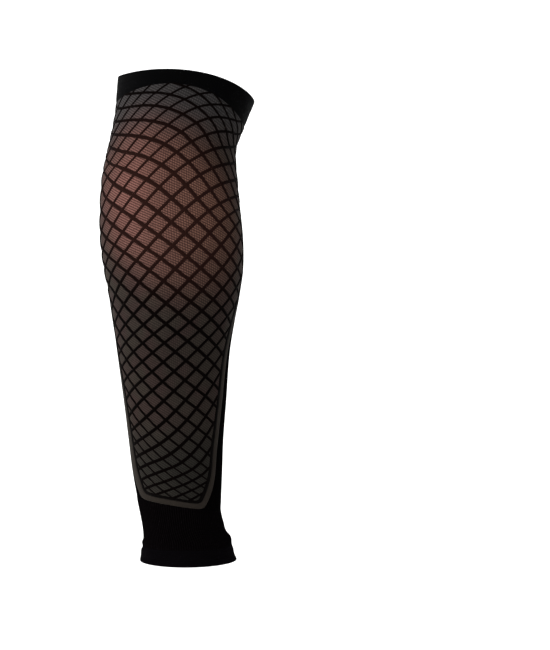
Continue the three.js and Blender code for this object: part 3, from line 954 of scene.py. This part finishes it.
def line_knit():
    """Near-black yarn, a little brown where the knit is stretched."""
    t = Tree("net_lines")
    uv, across, up = t.stitches()
    warm = t.share("warm")
    grain = t.noise(scale=3.1, detail=2, vector=uv)
    dark = t.mix(warm, rgb(*BLACK_LINE.dark), rgb(*WARM_LINE.dark))
    light = t.mix(warm, rgb(*BLACK_LINE.light), rgb(*WARM_LINE.light))
    colour = t.mix(grain, dark, light)
    height = t.scaled(t.wave(across, 2), 0.5, t.math("MULTIPLY", t.wave(up, 2), 0.5))
    tint = (1, 0.95, 0.92, 1)
    return t.finish(colour, height, depth=0.12, roughness=0.85, sheen=0.008, sheen_tint=tint, specular=0.01)


def plain_knit(name, knit, depth, sheen, tint, fineness=1.0, specular=0.02):
    """Even knit: columns of small stitches with painted shade round each one, and a little unevenness from
    yarn to yarn.
    """
    t = Tree(name)
    uv, across, up = t.stitches()
    stitch = t.math("MULTIPLY", t.wave(across, fineness), t.wave(up, 2 * fineness))
    grain = t.noise(scale=1.7, detail=3, vector=uv)
    cloud = t.noise(scale=22, detail=3)
    # Painted shade: each stitch is lighter on its crown and darker in the hollows round it, where the bump
    # puts its relief; grain and cloud add random unevenness.
    share = t.scaled(stitch, 0.35, t.math("MULTIPLY", grain, 0.5))
    share = t.scaled(cloud, 0.3, share)
    colour = t.mix(share, rgb(*knit.dark), rgb(*knit.light))
    height = t.scaled(grain, 0.4, stitch)
    return t.finish(colour, height, depth, 0.88, sheen, tint, specular)


def outline_knit():
    return plain_knit("outline_yarn", OUTLINE_KNIT, depth=0.12, sheen=0.01, tint=(1, 0.96, 0.94, 1))


def stripe_knit():
    return plain_knit("stripe_knit", STRIPE_KNIT, depth=0.12, sheen=0.04, tint=(0.97, 1, 0.93, 1))


def shin_knit():
    tint = (0.95, 0.96, 1, 1)
    return plain_knit("shin_knit", SHIN_KNIT, depth=0.12, sheen=0.004, tint=tint, specular=0.0)


def band_knit():
    tint = (0.92, 0.95, 1, 1)
    return plain_knit("band_knit", BAND_KNIT, depth=0.08, sheen=0.012, tint=tint, fineness=1.5)


def cuff_knit():
    """Black ribs with painted shade: a little lighter along their crests and darker in the grooves between
    them.
    """
    t = Tree("cuff_knit")
    uv, across, _ = t.stitches()
    # Painted shade and highlight: the colour follows the ribs of the cuff's relief, light on their crests
    # and dark in the grooves, broken by noise.
    crest = t.wave(across, RIBS / WALES)
    share = t.math("MULTIPLY", crest, t.noise(scale=1.1, detail=2, vector=uv))
    colour = t.mix(share, rgb(*CUFF_KNIT.dark), rgb(*CUFF_KNIT.light))
    height = t.noise(scale=2.5, detail=2, vector=uv)
    tint = (0.95, 0.96, 1, 1)
    return t.finish(colour, height, depth=0.05, roughness=0.9, sheen=0.006, sheen_tint=tint, specular=0.0)


def hem_knit():
    tint = (1, 0.92, 1, 1)
    return plain_knit("hem_knit", HEM_KNIT, depth=0.1, sheen=0.009, tint=tint, fineness=1.5, specular=0.0)


piece("top_band_welt", "top_band", band_shape(), band_knit())
piece("net_ground", "net_panel", ground_shape(), ground_knit())
piece("net_lines", "net_panel", lines_shape(), line_knit())
piece("outline_line", "panel_outline", outline_shape(), outline_knit())
piece("stripe_band", "panel_stripe", stripe_shape(), stripe_knit())
piece("shin_knit_panel", "shin_panel", shin_shape(), shin_knit())
piece("cuff_ribs", "ankle_cuff", cuff_shape(), cuff_knit())
piece("hem_welt", "hem", hem_shape(), hem_knit())


# Camera

def add_camera():
    data = bpy.data.cameras.new("camera")
    data.sensor_fit = "VERTICAL"
    data.sensor_height = SENSOR
    data.lens = SENSOR * CAMERA_DISTANCE / PIXEL / PHOTO_HEIGHT
    camera = bpy.data.objects.new("camera", data)
    right = (PHOTO_WIDTH / 2 - ORIGIN_COLUMN) * PIXEL
    down = (PHOTO_HEIGHT / 2 - ORIGIN_ROW) * PIXEL
    camera.location = (right * MM, -CAMERA_DISTANCE * MM, -down * MM)
    camera.rotation_euler = (math.radians(90), 0, 0)
    bpy.context.scene.collection.objects.link(camera)
    bpy.context.scene.camera = camera


# Studio

def studio_material():
    t = Tree("studio_white")
    cloud = t.noise(scale=0.8, detail=2)
    t.put(t.shader, "Base Color", t.mix(cloud, (0.9, 0.9, 0.9, 1), (0.94, 0.94, 0.94, 1)))
    t.put(t.shader, "Roughness", 0.9)
    t.put(t.shader, "Specular IOR Level", 0.1)
    return t.material


def add_studio():
    """A pale floor that curves up into a wall behind the sleeve."""
    floor = LEG_FOOT * MM - FLOOR_DROP
    arc = [math.radians(angle) for angle in range(0, 91, 6)]
    profile = [(-STUDIO_HALF, floor)]
    profile += [(WALL_PLACE - COVE + COVE * math.sin(a), floor + COVE * (1 - math.cos(a))) for a in arc]
    profile.append((WALL_PLACE, floor + STUDIO_HALF))
    points = [(side * STUDIO_HALF, y, z) for y, z in profile for side in (-1, 1)]
    faces = [(2 * i, 2 * i + 1, 2 * i + 3, 2 * i + 2) for i in range(len(profile) - 1)]
    mesh = bpy.data.meshes.new("studio")
    mesh.from_pydata(points, [], faces)
    mesh.shade_smooth()
    mesh.materials.append(studio_material())
    studio = bpy.data.objects.new("studio", mesh)
    bpy.context.scene.collection.objects.link(studio)


def add_light(light):
    data = bpy.data.lights.new(light.name, "AREA")
    data.shape = "RECTANGLE"
    data.size, data.size_y = light.size
    data.energy = light.watts
    lamp = bpy.data.objects.new(light.name, data)
    lamp.location = light.place
    towards = np.array(light.aim) - np.array(light.place)
    lamp.rotation_euler = Vector(towards).to_track_quat("-Z", "Y").to_euler()
    lamp.visible_camera = False
    bpy.context.scene.collection.objects.link(lamp)


def add_world():
    world = bpy.data.worlds.new("studio_air")
    world.use_nodes = True
    background = world.node_tree.nodes["Background"]
    background.inputs["Color"].default_value = (1, 1, 1, 1)
    background.inputs["Strength"].default_value = AIR_STRENGTH
    bpy.context.scene.world = world


add_camera()
add_studio()
for light in LIGHTS:
    add_light(light)
add_world()
bpy.context.scene.view_settings.view_transform = "Standard"
